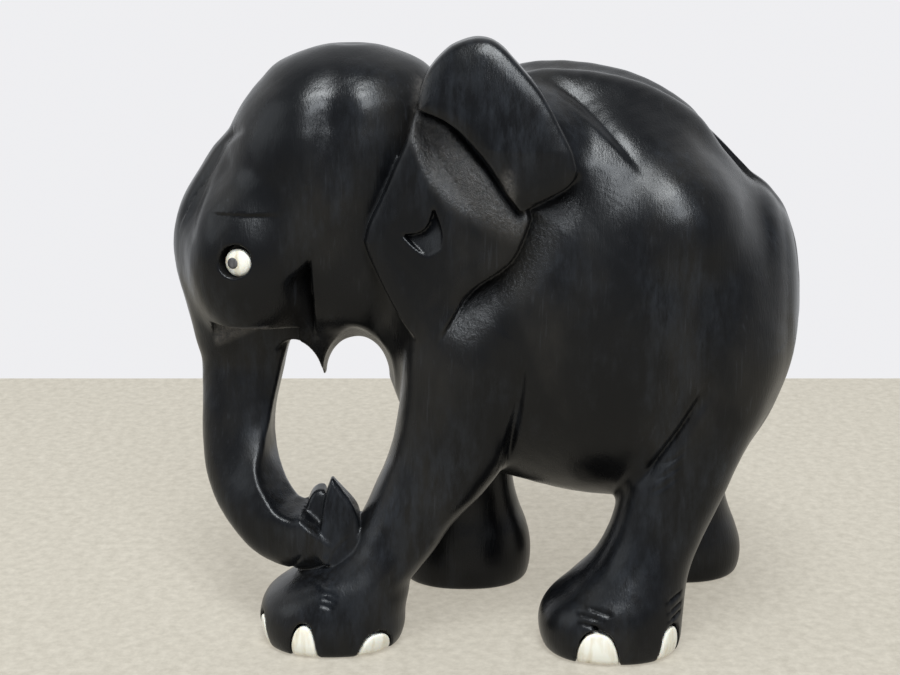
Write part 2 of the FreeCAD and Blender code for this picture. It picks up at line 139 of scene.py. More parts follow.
def to_polyline(u, v, line):
    """Distance to a polyline in a plane, and the share of its length at the nearest spot."""
    best = np.full(u.shape, 1e9)
    share = np.zeros(u.shape)
    lengths = np.hypot(*np.diff(line, axis=0).T)
    starts = np.concatenate([[0], np.cumsum(lengths)])
    for (u0, v0), (u1, v1), start, length in zip(line[:-1], line[1:], starts, lengths):
        du, dv = u1 - u0, v1 - v0
        t = np.clip(((u - u0) * du + (v - v0) * dv) / (length**2 + 1e-12), 0, 1)
        gap = np.hypot(u - u0 - t * du, v - v0 - t * dv)
        closer = gap < best
        best = np.where(closer, gap, best)
        share = np.where(closer, (start + t * length) / starts[-1], share)
    return best, share


def to_outline(u, v, ring):
    """Signed distance to a closed outline in a plane: below zero inside."""
    gap, _ = to_polyline(u, v, np.vstack([ring, ring[:1]]))
    inside = np.zeros(u.shape, bool)
    for (u0, v0), (u1, v1) in zip(ring, np.roll(ring, -1, axis=0)):
        crosses = (v0 > v) != (v1 > v)
        at = u0 + (v - v0) * (u1 - u0) / (v1 - v0 if v1 != v0 else 1e-12)
        inside ^= crosses & (u < at)
    return np.where(inside, -gap, gap)


# ---------------------------------------------------------------------------- solid shapes
# A shape is a function of x, y and z, and the box that it lies in.


def ellipsoid(centre, radii):
    c, r = np.array(centre, float), np.array(radii, float)

    def field(x, y, z):
        dx, dy, dz = x - c[0], y - c[1], z - c[2]
        near = np.sqrt((dx / r[0]) ** 2 + (dy / r[1]) ** 2 + (dz / r[2]) ** 2)
        steep = np.sqrt((dx / r[0] ** 2) ** 2 + (dy / r[1] ** 2) ** 2 + (dz / r[2] ** 2) ** 2)
        return near * (near - 1.0) / (steep + 1e-6)

    return field, (c - r, c + r)


def column(stations, power=2.0, rim=1.5):
    """An upright limb through level sections: height, middle x, middle y, half width, half length."""
    track = Track(stations)
    low, high = track.ends()

    def field(x, y, z):
        mid_x, mid_y, half_x, half_y = track(z)
        u, v = np.abs((x - mid_x) / half_x), np.abs((y - mid_y) / half_y)
        q = np.hypot(u, v) if power == 2.0 else (u**power + v**power) ** (1.0 / power)
        side = (q - 1.0) * np.minimum(half_x, half_y)
        return soft_max(side, np.maximum(low - z, z - high), rim)

    v = track.values
    lowest = np.array([(v[:, 0] - v[:, 2]).min(), (v[:, 1] - v[:, 3]).min(), low])
    highest = np.array([(v[:, 0] + v[:, 2]).max(), (v[:, 1] + v[:, 3]).max(), high])
    return field, (lowest, highest)


def barrel(stations, power_top=2.3, power_bottom=2.2):
    """The torso through upright sections: y, height of the widest part, half width, rise above it
    and drop below it."""
    track = Track(stations)
    low, high = track.ends()

    def field(x, y, z):
        mid_z, half_x, rise, drop = track(y)
        above = z > mid_z
        u = np.abs(x / half_x)
        v = np.abs(z - mid_z) / np.where(above, rise, drop)
        power = np.where(above, power_top, power_bottom)
        q = (u**power + v**power + 1e-9) ** (1.0 / power)
        side = (q - 1.0) * np.minimum(half_x, np.where(above, rise, drop))
        return soft_max(side, np.maximum(low - y, y - high), 2.0)

    v = track.values
    lowest = np.array([-v[:, 1].max(), low, (v[:, 0] - v[:, 3]).min()])
    highest = np.array([v[:, 1].max(), high, (v[:, 0] + v[:, 2]).max()])
    return field, (lowest, highest)


def sweep(stations, power=2.3, inner_share=1.5, steps=90):
    """A limb along a path in space. A station is x, y, z, half width across, half depth, and a twist
    in degrees. Its inner side is cut off flat, as if its depth there were inner_share greater, and so
    are its ends."""
    rows = np.array(stations, float)
    lengths = np.linalg.norm(np.diff(rows[:, :3], axis=0), axis=1)
    along = np.concatenate([[0], np.cumsum(lengths)])
    track = Track(np.column_stack([along, rows]), steps)
    centres = track.values[:, :3]
    halves = track.values[:, 3:5]
    twist = np.radians(track.values[:, 5:6])
    tangents = np.gradient(centres, track.knots, axis=0)
    tangents /= np.linalg.norm(tangents, axis=1)[:, None]
    level = np.array([1.0, 0, 0]) - tangents * tangents[:, :1]
    level /= np.linalg.norm(level, axis=1)[:, None]
    back = np.cross(level, tangents)
    across = level * np.cos(twist) - back * np.sin(twist)
    inner = back * np.cos(twist) + level * np.sin(twist)
    gap = track.knots[1] - track.knots[0]

    def mix(table, place):
        base = np.clip(place.astype(int), 0, steps - 2)
        t = (place - base)[:, None]
        return table[base] * (1 - t) + table[base + 1] * t

    def field(x, y, z):
        p = np.stack([x, y, z], axis=1)
        place = np.empty(len(p))
        for start in range(0, len(p), 40000):
            part = p[start:start + 40000, None] - centres
            place[start:start + 40000] = np.argmin((part * part).sum(2), axis=1)
        for _ in range(4):
            slip = np.einsum("ij,ij->i", p - mix(centres, place), mix(tangents, place)) / gap
            place = np.clip(place + np.clip(slip, -1, 1), 0, steps - 1)
        offset = p - mix(centres, place)
        a = np.einsum("ij,ij->i", offset, mix(across, place))
        b = np.einsum("ij,ij->i", offset, mix(inner, place))
        beyond = np.abs(np.einsum("ij,ij->i", offset, mix(tangents, place)))
        beyond -= np.minimum(place, steps - 1 - place) * gap
        half = mix(halves, place)
        deep = half[:, 1] * np.where(b > 0, inner_share, 1.0)
        q = (np.abs(a / half[:, 0]) ** power + np.abs(b / deep) ** power + 1e-9) ** (1.0 / power)
        section = soft_max((q - 1.0) * half.min(axis=1), b - half[:, 1], 1.0)
        return soft_max(section, beyond, 1.2)

    reach = halves.max()
    return field, (centres.min(0) - reach, centres.max(0) + reach)


def plate(ring, middle, half, edge=0.8):
    """A plate whose outline lies in y and z. Its middle and half thickness along x go from their
    value at the outline's bottom to their value at its top."""
    low, high = ring.min(0), ring.max(0)

    def field(x, y, z):
        t = np.clip((z - low[1]) / (high[1] - low[1]), 0, 1)
        mid = middle[0] + (middle[1] - middle[0]) * t
        thick = half[0] + (half[1] - half[0]) * t
        return soft_max(to_outline(y, z, ring), np.abs(x - mid) - thick, edge)

    reach = max(half)
    return field, (np.array([min(middle) - reach, *low]), np.array([max(middle) + reach, *high]))


def on_side(side, low, high):
    """A box that is given for the elephant's left, put on either side."""
    near_x, far_x = sorted((side * low[0], side * high[0]))
    return np.array([near_x, low[1], low[2]], float), np.array([far_x, high[1], high[2]], float)


def relief(ring, face, depth, edge, side):
    """A leaf seen from the elephant's side: everything inside an outline in y and z, from its face
    (a function that gives |x| from y, z and the distance from the edge) inwards to its depth."""
    low, high = ring.min(0), ring.max(0)

    def field(x, y, z):
        within = to_outline(y, z, ring)
        out = side * x
        front = face(y, z, within)
        slab = np.maximum(out - front, front - depth - out) * 0.9
        return soft_max(within, slab, edge)

    return field, on_side(side, (5, *low), (42, *high))


# ---------------------------------------------------------------------------- the carving

LEFT, RIGHT = 1, -1


class Block:
    """A field over many points, worked shape by shape."""

    def __init__(self, x, y, z):
        self.x, self.y, self.z = x, y, z
        self.field = np.full(x.shape, 1e3)

    def near(self, box, melt):
        low, high = box
        room = max(melt, 0) + REACH
        return np.flatnonzero(
            (self.x > low[0] - room) & (self.x < high[0] + room)
            & (self.y > low[1] - room) & (self.y < high[1] + room)
            & (self.z > low[2] - room) & (self.z < high[2] + room)
        )

    def work(self, shape, combine, melt):
        field, box = shape
        i = self.near(box, melt)
        if len(i):
            self.field[i] = combine(self.field[i], field(self.x[i], self.y[i], self.z[i]), melt)

    def add(self, shape, melt):
        self.work(shape, soft_min, melt)

    def carve(self, shape, melt):
        self.work(shape, lambda a, b, m: soft_max(a, -b, m), melt)

    def press(self, box, depth_at):
        """Pushes the surface in by a depth that depends on the place."""
        i = self.near((np.array(box[0], float), np.array(box[1], float)), -REACH)
        if len(i):
            self.field[i] += depth_at(self.x[i], self.y[i], self.z[i])


TORSO = [
    # y, widest height, half width, rise, drop
    (-24, 72, 12, 18, 20),
    (-18, 73, 19, 31, 27),
    (-11, 73, 22.5, 41, 34),
    (-3, 70, 26.5, 46.6, 36),
    (8, 68, 30.5, 49.7, 37.5),
    (22, 66, 33.5, 51.3, 38.4),
    (34, 65, 34, 49.2, 37.6),
    (43, 64, 33, 45, 35.5),
    (50, 63, 30.5, 40, 32),
    (56, 63.5, 26.5, 33.5, 25.0),
    (61, 65, 21.5, 27, 18.0),
    (64.5, 67.5, 15, 18, 11.5),
    (66.6, 68.5, 6, 7, 5),
]
HEAD = [
    # z, x, y, half width, half length
    (53, 0, -37.0, 5, 12.0),
    (60, 0, -37.4, 8.8, 15.6),
    (66, 0, -37.3, 12.0, 19.2),
    (74, 0, -36.5, 14.6, 20.5),
    (82, 0, -35.5, 17.5, 21.5),
    (90, 0, -33.8, 19.4, 22.8),
    (98, 0, -32.8, 19.8, 23.2),
    (108, 0, -31.3, 18.8, 22.0),
    (116, 0, -29.0, 15.4, 18.8),
    (121, 0, -28.4, 9.8, 13.6),
    (123.9, 0, -28.4, 4.0, 6.0),
]
TRUNK_ROOT = [
    (52, 0, -52.8, 5.4, 5.6),
    (60, 0, -52.2, 9.2, 9.8),
    (69, 0, -52.6, 11.4, 11.8),
    (77, 0, -53.3, 12.4, 13.0),
    (84, 0, -53.3, 12.6, 13.2),
    (91, 0, -51.6, 12.2, 13.0),
    (98, 0, -47.7, 10.8, 12.8),
    (104, 0, -43.7, 8.6, 12.4),
    (109, 0, -38.5, 5.5, 10.5),
]
TRUNK = [
    # x, y, z, half width, half depth, twist
    (0, -52.0, 66, 9.4, 10.6, 0),
    (0, -52.3, 60.5, 8.9, 9.9, 0),
    (0.3, -52.5, 56, 8.4, 8.9, 0),
    (1.4, -53.0, 51, 7.9, 8.2, 0),
    (3.0, -53.5, 45.5, 7.5, 7.7, 0),
    (4.8, -53.6, 39.5, 7.2, 7.4, 6),
    (7.8, -52.5, 32.8, 6.9, 7.2, 14),
    (11.8, -49.2, 26.9, 6.7, 6.8, 18),
    (15.0, -44.4, 22.6, 6.6, 6.6, 16),
    (16.8, -38.6, 21.3, 6.8, 6.6, 10),
    (17.4, -34.8, 22.2, 7.0, 7.0, 4),
    (17.6, -33.6, 23.6, 6.9, 6.8, 0),
]
OUTER_FINGER = outline(
    [(-26.3, 22.0), (-27.3, 28.2), (-30.4, 33.0), (-32.5, 35.7)],
    [(-32.5, 35.7), (-33.7, 32.0), (-34.5, 28.0), (-35.2, 22.0)],
    [(-35.2, 22.0), (-35.0, 18.8), (-33.2, 16.9), (-30.2, 16.3), (-27.4, 18.0), (-26.3, 22.0)],
)
INNER_FINGER = outline(
    [(-39.4, 22.5), (-38.3, 27.3), (-37.0, 30.5), (-35.2, 31.6), (-33.9, 30.3), (-33.2, 23.0)],
    [(-33.2, 23.0), (-39.4, 22.5)],
)
FRONT_LEFT_LEG = [
    (0, 19.5, -32.6, 13.6, 14.2),
    (3, 19.5, -32.6, 14.4, 15.2),
    (7, 19.3, -32.5, 14.2, 15.4),
    (10, 19.0, -31.5, 13.7, 15.0),
    (13.5, 18.6, -28.6, 12.8, 12.8),
    (16.5, 18.2, -24.4, 11.8, 10.9),
    (20, 17.8, -20.4, 11.0, 9.8),
    (25, 17.3, -17.2, 10.8, 10.0),
    (33, 17.0, -11.6, 11.2, 11.8),
    (40, 17.0, -7.9, 11.7, 12.6),
    (50, 17.0, -6.0, 12.6, 12.4),
    (63, 16.5, -5.0, 13.2, 12.4),
    (76, 15.0, -4.0, 12.4, 13.0),
    (88, 12.0, -3.0, 9.0, 10.0),
]
FRONT_RIGHT_LEG = [
    (0, -19.5, -4.2, 13.6, 14.2),
    (3, -19.5, -4.2, 14.4, 14.9),
    (8, -19.3, -4.2, 14.2, 15.0),
    (12, -18.8, -4.3, 13.2, 14.3),
    (17, -18.0, -4.4, 11.6, 12.6),
    (24, -17.3, -4.6, 10.8, 11.2),
    (33, -17.0, -4.8, 11.2, 11.6),
    (42, -17.0, -5.0, 11.8, 12.4),
    (52, -17.0, -5.0, 12.6, 12.6),
    (63, -16.5, -5.0, 13.2, 12.6),
    (76, -15.0, -4.0, 12.4, 13.0),
    (88, -12.0, -3.0, 9.0, 10.0),
]
REAR_LEFT_LEG = [
    (0, 23.5, 26.3, 13.6, 14.0),
    (3, 23.5, 26.1, 14.3, 14.9),
    (6, 23.5, 26.1, 14.3, 15.1),
    (10, 23.3, 27.1, 13.7, 14.4),
    (14, 22.8, 29.6, 12.4, 12.4),
    (19, 22.2, 32.8, 11.0, 10.4),
    (24, 21.6, 35.3, 10.4, 10.0),
    (32, 20.8, 38.4, 10.6, 10.7),
    (41, 20.0, 41.0, 11.6, 12.0),
    (51, 18.8, 43.8, 13.4, 13.9),
    (62, 17.0, 45.0, 15.4, 15.6),
    (74, 14.5, 43.5, 15.5, 15.5),
    (86, 11.5, 41.5, 13.0, 13.0),
]
REAR_RIGHT_LEG = [
    (0, -23.5, 45.0, 13.6, 14.0),
    (3, -23.5, 45.0, 14.3, 14.8),
    (7, -23.5, 45.0, 14.2, 14.8),
    (11, -23.2, 45.0, 13.2, 13.6),
    (15, -22.8, 45.0, 12.0, 12.0),
    (21, -22.0, 44.8, 10.7, 10.7),
    (32, -20.8, 44.6, 10.7, 10.9),
    (41, -20.0, 44.3, 11.6, 12.0),
    (51, -18.8, 44.0, 13.4, 13.6),
    (62, -17.0, 43.8, 15.4, 15.4),
    (74, -14.5, 43.0, 15.5, 15.5),
    (86, -11.5, 41.5, 13.0, 13.0),
]

LEAF = outline(
    [(-14, 113.5), (-16.2, 107.4), (-19.3, 100.1), (-21.7, 94.6), (-24.2, 89.3), (-25.2, 85.6)],
    [(-25.2, 85.6), (-23.7, 81.5), (-18.9, 72.4), (-16.3, 68.5), (-13.6, 66.0), (-11.6, 65.7)],
    [(-11.6, 65.7), (-7.9, 71.4), (-5.5, 75.2), (-2.2, 78.4), (1.5, 81.1), (4.4, 84.1), (6.2, 88),
     (7.6, 92)],
    [(7.6, 92), (4, 103), (-3, 111), (-14, 113.5)],
)
FOLD = outline(
    [(-14, 113.1), (-9.7, 111.7), (-6, 109.4), (-2.8, 106.2), (0, 102.9), (2.3, 99.4), (4.2, 96.6),
     (6.3, 94)],
    [(6.3, 94), (8.4, 95.0), (11.6, 96.5), (14.6, 98.2), (16.6, 100.2), (17.3, 102.2)],
    [(17.3, 102.2), (16.3, 105.8), (14.2, 110), (11.9, 114.4), (9.6, 118), (5, 123.2), (2.3, 125.8),
     (-0.4, 127.1), (-3.6, 127), (-7.9, 125.2), (-12, 120.8), (-13.8, 116.5), (-14, 113.1)],
)
LEAF_RIDGE = [(-17, 111), (-14.9, 107.5), (-13.5, 104.0), (-11.7, 100.6), (-8.8, 97.4), (-5.5, 95.2),
              (-1.3, 93.2), (5.1, 90.3), (9, 88.6)]


def leaf_face(y, z, within):
    """|x| of the ear's leaf. It is creased from top to tip, falls to the head in front of the
    crease, flares behind it, and dips under the fold above a curved ridge."""
    crease = y + 12.2 - 0.05 * (z - 84)
    flare = 26.6 + 0.42 * np.minimum(crease, 0) + 0.26 * np.maximum(crease, 0)
    soft = 0.5 * np.exp(-((crease / 2.6) ** 2))
    ridge = np.interp(y, *np.array(LEAF_RIDGE).T)
    dip = 1.25 * np.log1p(np.exp(np.clip((z - ridge) * 0.8 / 1.1, -20, 20))) * 1.1
    dip = np.minimum(dip, 5.0 + 0.2 * (dip - 5.0))
    roll = 0.045 * np.clip(4.0 + within, 0, 4.0) ** 2
    return flare - soft - dip - roll - 0.035 * (z - 88)


def fold_face(y, z, within):
    """|x| of the fold: convex, leaning in towards its top and its front."""
    crown = 0.15 * np.clip(z - 106, 0, None) + 0.012 * np.clip(z - 112, 0, None) ** 2
    lean = 0.15 * (y - 2) - 0.035 * np.clip(-2 - y, 0, None) ** 1.5
    roll = 0.055 * np.clip(3.6 + within, 0, 3.6) ** 2
    return 31.0 + lean - crown - roll


def groove(line, width, depth, x_range, fade=0.15):
    """A groove cut along a line in y and z, through the surfaces between two x values. It fades out
    over a share of its length at each end."""
    path = smooth_path(line, 5)
    box = ((x_range[0], *(path.min(0) - 2 * width)), (x_range[1], *(path.max(0) + 2 * width)))

    def depth_at(x, y, z):
        gap, share = to_polyline(y, z, path)
        ends = ease(share, 0, fade) * ease(1 - share, 0, fade) if fade else 1.0
        return depth * np.exp(-((gap / width) ** 2)) * ends

    return box, depth_at


BLADE_EDGE = [(4, 119), (8, 117.8), (13.3, 116.2), (17.8, 113.2), (22.3, 109.3), (25.5, 106.2), (31, 100)]
HIP_HOLLOW = smooth_path([(40, 109), (48, 103.5), (53, 97), (56, 88), (57.5, 78)])


def add_body_masses(block):
    block.add(barrel(TORSO), 1.0)
    for side in (LEFT, RIGHT):
        block.add(ellipsoid((side * 13, 7, 92), (18.0, 18, 24.5)), 2.5)
        block.add(ellipsoid((side * 15.2, 38.5, 88), (17.5, 14, 15)), 4.5)
    block.press(((-24, -4, 76), (24, 68, 124)), back_ridges)
    for side in (LEFT, RIGHT):
        block.press(on_side(side, (6, 3, 98), (40, 32, 124)), behind_shoulder)
        block.press(on_side(side, (10, 34, 72), (40, 64, 114)), hip_hollow)


LEG_POWER = 2.3


def add_legs(block):
    for leg in (FRONT_LEFT_LEG, FRONT_RIGHT_LEG, REAR_LEFT_LEG, REAR_RIGHT_LEG):
        block.add(column(leg, power=LEG_POWER), 3.0)


def back_ridges(x, y, z):
    """Raises the two soft ridges that the flat top of the back lies between."""
    stretch = ease(y, -2, 12) * ease(z, 78, 96) * ease(58 - y, 0, 14)
    return -stretch * (1.7 * bump(np.abs(x), 9.0, 4.6) + 0.25 * bump(x, 0, 1.2))


def behind_shoulder(x, y, z):
    """The wood cut away behind the shoulder blade, which leaves the blade's upper edge crisp."""
    over = 0.8 * (z - np.interp(y, *np.array(BLADE_EDGE).T))
    along = ease(y, 3, 15) * ease(33 - y, 0, 12) * ease(np.abs(x), 9, 15)
    return 0.9 * np.exp(-np.clip(over, 0, None) / 3.0) * ease(over, -1.0, 1.0) * along


def hip_hollow(x, y, z):
    """The shallow hollow between the hip and the ridge that runs down the rump."""
    gap, share = to_polyline(y, z, HIP_HOLLOW)
    return 1.3 * np.exp(-((gap / 3.2) ** 2)) * ease(share, 0, 0.3) * ease(1 - share, 0, 0.3)


def add_head(block):
    block.add(column(HEAD, power=2.2), 4.0)
    block.add(column(TRUNK_ROOT), 1.6)
    for side in (LEFT, RIGHT):
        block.add(ellipsoid((side * 10.8, -49.4, 80), (10.4, 12.6, 17)), 4.5)
        block.add(ellipsoid((side * 9.5, -28, 80), (8.8, 13, 15.5)), 4.0)
        block.carve(under_cheek(side), 0.4)
        block.carve(jaw_hollow(side), 0.9)


def under_cheek(side):
    """The wood taken away beside the trunk, which leaves the cheek's flat underside above it."""
    def field(x, y, z):
        ledge = z - 66.6 + 0.08 * (y + 50)
        beside = 9.2 - 0.1 * (66 - z) - side * x
        return np.maximum(np.maximum(ledge, beside), np.maximum(y + 39.5, -57.6 - y))

    return field, on_side(side, (8, -60, 50), (30, -39, 69))


def jaw_hollow(side):
    """The hollow behind the cheek. Its floor slopes in from the cheek to a crisp wall at the jaw."""
    def field(x, y, z):
        floor = 19.4 - 1.45 * (y + 42.0) + 8.0 * ease(z, 76, 84)
        return np.maximum(np.maximum((floor - side * x) * 0.7, y + 36.1 + 0.03 * (z - 70)), 63.5 - z)

    return field, on_side(side, (10, -46, 56), (30, -36, 88))


def carve_arch(block):
    """The opening between trunk and chest, drilled through in two bores that leave a pointed lip.
    The front bore's ceiling rises towards each side of the jaw."""
    def bore(middle_y, middle_z, half_y, half_z, widen_y, widen_z):
        def field(x, y, z):
            reach = np.sqrt(x * x + 4.0) - 2.0
            tall = half_z + widen_z * reach
            wide = half_y + widen_y * reach + 0.35 * np.clip(middle_z - z, 0, 9)
            q = np.hypot((y - middle_y) / wide, np.maximum(z - middle_z, 0) / tall)
            return (q - 1.0) * wide * 0.9

        low = np.array([-30.0, middle_y - 14, 10.0])
        high = np.array([30.0, middle_y + 14, middle_z + 18])
        return field, (low, high)

    block.carve(bore(-41.0, 52.2, 6.0, 9.2, 0.05, 0.14), 0.5)
    block.carve(bore(-27.7, 52.6, 6.8, 8.6, 0.16, 0.44), 0.5)


def add_trunk(block):
    block.add(sweep(TRUNK), 1.0)
    block.add(plate(INNER_FINGER, (15.0, 14.0), (4.6, 2.8), 1.2), 1.0)
    block.add(plate(OUTER_FINGER, (17.8, 19.4), (7.5, 1.6), 1.2), 0.6)


def squashed(shape, level, share):
    """A shape pressed down above a level."""
    field, (low, high) = shape
    top = np.array([high[0], high[1], level + (high[2] - level) * share])
    return (lambda x, y, z: field(x, y, np.where(z > level, level + (z - level) / share, z))), (low, top)


RIGHT_EAR_SHARE = 0.78


def add_ears(block):
    """The ears. The right one is carved lower than the left."""
    for side, share in ((LEFT, 1.0), (RIGHT, RIGHT_EAR_SHARE)):
        parts = (
            (ellipsoid((side * 16, 0, 101), (9.5, 13, 16)), 4.0),
            (relief(LEAF, leaf_face, 6.0, 0.8, side), 0.7),
            (relief(FOLD, fold_face, 6.0, 1.0, side), 0.5),
        )
        for shape, melt in parts:
            block.add(squashed(shape, 97.0, share), melt)


def add_tail(block):
    tail = [(0, 50.0, 94.8, 1.6, 1.4, 0), (0, 56.0, 94.2, 2.6, 2.2, 0), (0, 60.4, 89.8, 3.0, 2.6, 0),
            (0, 63.5, 83, 3.0, 2.5, 0), (0, 65.0, 74, 2.8, 2.4, 0), (0, 65.2, 64, 2.6, 2.2, 0),
            (0, 63.6, 55, 2.0, 1.8, 0)]
    block.add(sweep(tail, 2.0, 1.0), 1.2)


# An inlaid nail: the angle round the foot from its front, the width and the height.
FORE_NAILS = {"inner": (18, 6.4, 6.4), "middle": (67, 5.4, 7.0), "outer": (131, 7.8, 4.7)}
HIND_NAILS = {"middle": (75, 8.6, 7.2), "outer": (143, 6.8, 7.0)}
FEET = {
    "front_left": (FRONT_LEFT_LEG, LEFT, FORE_NAILS),
    "front_right": (FRONT_RIGHT_LEG, RIGHT, FORE_NAILS),
    "rear_left": (REAR_LEFT_LEG, LEFT, HIND_NAILS),
    "rear_right": (REAR_RIGHT_LEG, RIGHT, HIND_NAILS),
}
NAIL_DEPTH = 3.2
RECESS_SIDE, RECESS_TOP = 0.3, 0.8


def nail_arch(leg, side, nail, wider, taller):
    """The upright arch that a nail fills, as a field and its box."""
    angle, width, height = nail
    turn = math.radians(angle)
    _, middle_x, middle_y, half_x, half_y = leg[1]
    radial = (side * math.sin(turn), -math.cos(turn))
    half, top = width / 2 + wider, height + taller

    def field(x, y, z):
        dx, dy = x - middle_x, y - middle_y
        out = dx * radial[0] + dy * radial[1]
        along = dx * radial[1] - dy * radial[0]
        q = (np.abs(along / half) ** 2.4 + np.abs(np.maximum(z, 0) / top) ** 2.2 + 1e-9) ** (1 / 2.3)
        return np.maximum((q - 1.0) * half * 0.8, 4.0 - out)

    spot = np.array([middle_x + radial[0] * half_x, middle_y + radial[1] * half_y, top / 2])
    reach = np.array([half + 3, half + 3, top / 2 + 1])
    return field, (spot - reach, spot + reach)


def carve_recesses(block):
    """The notches that the nails are let into."""
    for leg, side, nails in FEET.values():
        foot, _ = column(leg, power=LEG_POWER)
        for nail in nails.values():
            arch, box = nail_arch(leg, side, nail, RECESS_SIDE, RECESS_TOP)

            def notch(x, y, z, arch=arch, foot=foot):
                return np.maximum(arch(x, y, z), -foot(x, y, z) - NAIL_DEPTH - 0.3)

            block.carve((notch, box), 0.25)


def nail_field(leg, side, nail):
    """A nail: the arch's share of a thin shell under the foot's surface."""
    foot, _ = column(leg, power=LEG_POWER)
    arch, box = nail_arch(leg, side, nail, 0, 0)

    def field(x, y, z):
        skin = foot(x, y, z) + 0.15
        shell = np.maximum(skin, -skin - NAIL_DEPTH)
        return soft_max(soft_max(arch(x, y, z), shell, 0.35), 0.35 - z, 0.2)

    return field, box


EYE_SPOT = (20.6, -51.5, 81.2)
EYE_YAW = 20.0
SOCKET_RADIUS, SOCKET_DEPTH, DISC_RADIUS = 3.35, 3.4, 2.85


def eye_axes(side):
    turn = math.radians(EYE_YAW)
    out = np.array([side * math.cos(turn), -math.sin(turn), 0])
    forward = np.array([-side * math.sin(turn), -math.cos(turn), 0])
    return np.array([side * EYE_SPOT[0], EYE_SPOT[1], EYE_SPOT[2]]), out, forward


def carve_sockets(block):
    """A drilled socket round each eye, a little up and forward of the disc in it."""
    for side in (LEFT, RIGHT):
        spot, out, forward = eye_axes(side)
        middle = spot + 0.15 * forward + np.array([0, 0, 0.45])

        def drill(x, y, z, middle=middle, out=out):
            dx, dy, dz = x - middle[0], y - middle[1], z - middle[2]
            t = dx * out[0] + dy * out[1] + dz * out[2]
            r = np.sqrt(np.maximum(dx * dx + dy * dy + dz * dz - t * t, 0))
            return np.maximum(r - SOCKET_RADIUS, -SOCKET_DEPTH - t)

        block.carve((drill, (middle - 7, middle + 7)), 0.3)


GROOVES = [
    # line in y and z, width, depth, x range, fade
    ([(7.2, 66), (6.4, 55), (5.0, 46), (3.6, 36)], 0.9, 0.8, (16, 45), 0.25),
    ([(46, 62), (42, 54), (37.5, 46), (33, 39), (30.5, 34)], 1.6, 1.3, (16, 45), 0.25),
    ([(43, 57), (39, 49.5), (35.4, 43.5), (32.2, 37.5)], 0.45, 0.8, (16, 45), 0.3),
]
SCRATCH = [(34.5, 40.6), (37.8, 42.8), (41.5, 46.2)]
for drop in (0.0, 3.0, 5.8):
    GROOVES.append(([(y - 0.3 * drop, z - drop) for y, z in SCRATCH], 0.35, 0.35, (16, 45), 0.4))
TOE_CUTS = [
    # short cuts over the left feet's nails, each from y, z to y, z
    [(-35.8, 14.6), (-30.9, 13.2)],
    [(-34.2, 12.9), (-31.2, 12.1)],
    [(-34.5, 11.7), (-31.8, 11.1)],
    [(20.4, 12.1), (25.8, 11.0)],
    [(18.4, 10.8), (23.9, 10.0)],
    [(18.8, 9.2), (23.4, 8.4)],
    [(36.9, 12.6), (40.4, 14.1)],
    [(37.2, 10.4), (40.6, 11.7)],
    [(37.4, 8.6), (40.4, 9.8)],
]
TOE_CUT_WIDTH, TOE_CUT_DEPTH, TOE_CUT_REACH = 0.4, 0.45, (20, 42)
for cut in TOE_CUTS:
    GROOVES.append((cut, TOE_CUT_WIDTH, TOE_CUT_DEPTH, TOE_CUT_REACH, 0.3))
GROOVES.append(([(-41.8, 13.2), (-40.6, 16.6), (-38.4, 20.0)], 0.4, 0.35, (5, 25), 0.3))
GROOVES.append(([(-35.4, 13.0), (-33.6, 16.0), (-31.6, 20.6), (-28.0, 24.5)], 0.4, 0.35, (5, 25), 0.3))


EAR_CHIP = outline(
    [(-17.2, 88.0), (-14.0, 88.6), (-12.2, 90.2), (-10.9, 93.8)],
    [(-10.9, 93.8), (-9.3, 89.2), (-9.4, 85.6)],
    [(-9.4, 85.6), (-12.3, 83.8)],
    [(-12.3, 83.8), (-14.8, 85.6), (-17.2, 88.0)],
)
EAR_TRENCH = smooth_path([
    (-11.3, 64.8), (-6.8, 71.0), (-4.2, 75.0), (-1.0, 77.8), (2.7, 80.4), (5.8, 83.7),
    (7.6, 88.0), (8.9, 92.8), (12.4, 94.8), (15.8, 96.8), (18.4, 99.6), (18.8, 103.0),
])


def ear_chip(x, y, z):
    """The chip cut from the ear: deepest along its curved upper edge."""
    inside = to_outline(y, z, EAR_CHIP)
    gap, _ = to_polyline(y, z, smooth_path([(-17.2, 88.0), (-14.0, 88.6), (-12.2, 90.2), (-10.9, 93.8)]))
    return ease(-inside, -0.1, 0.25) * np.clip(1.9 - 0.36 * gap, 0, 1.9)


def ear_trench(x, y, z):
    """The scoop behind the ear: deepest against the ear's edge, rising to the shoulder."""
    outside = np.minimum(to_outline(y, z, LEAF), to_outline(y, z, FOLD))
    _, share = to_polyline(y, z, EAR_TRENCH)
    ends = ease(share, 0, 0.30) * ease(1 - share, 0, 0.22) * ease(y, -12, -8)
    scoop = np.exp(-((np.clip(outside - 0.6, 0, None) / 5.4) ** 1.3))
    return 3.8 * scoop * ease(outside, 0.1, 1.0) * ends


def fold_undercut(x, y, z):
    """The deep cut that frees the fold's lower edge from the leaf."""
    outside = to_outline(y, z, FOLD)
    on_leaf = ease(-to_outline(y, z, LEAF), -0.5, 1.5)
    return 2.0 * bump(outside, 0.7, 0.8) * on_leaf * ease(outside, -0.1, 0.3)


def cut_details(block):
    for groove_data in GROOVES:
        block.press(*groove(*groove_data))
    for side in (LEFT, RIGHT):
        block.press(on_side(side, (2, -64, 82), (24, -48, 113)), temple_valley)
        block.press(on_side(side, (4, -44, 88), (26, -22, 126)), brow_valley)
        block.press(on_side(side, (8, -60, 76), (30, -38, 93)), eye_line)
        block.press(on_side(side, (18, -19, 82), (40, -8, 95)), ear_chip)
        block.press(on_side(side, (20, -14, 60), (42, 24, 108)), ear_trench)
        block.press(on_side(side, (18, -17, 90), (42, 8, 115)), fold_undercut)


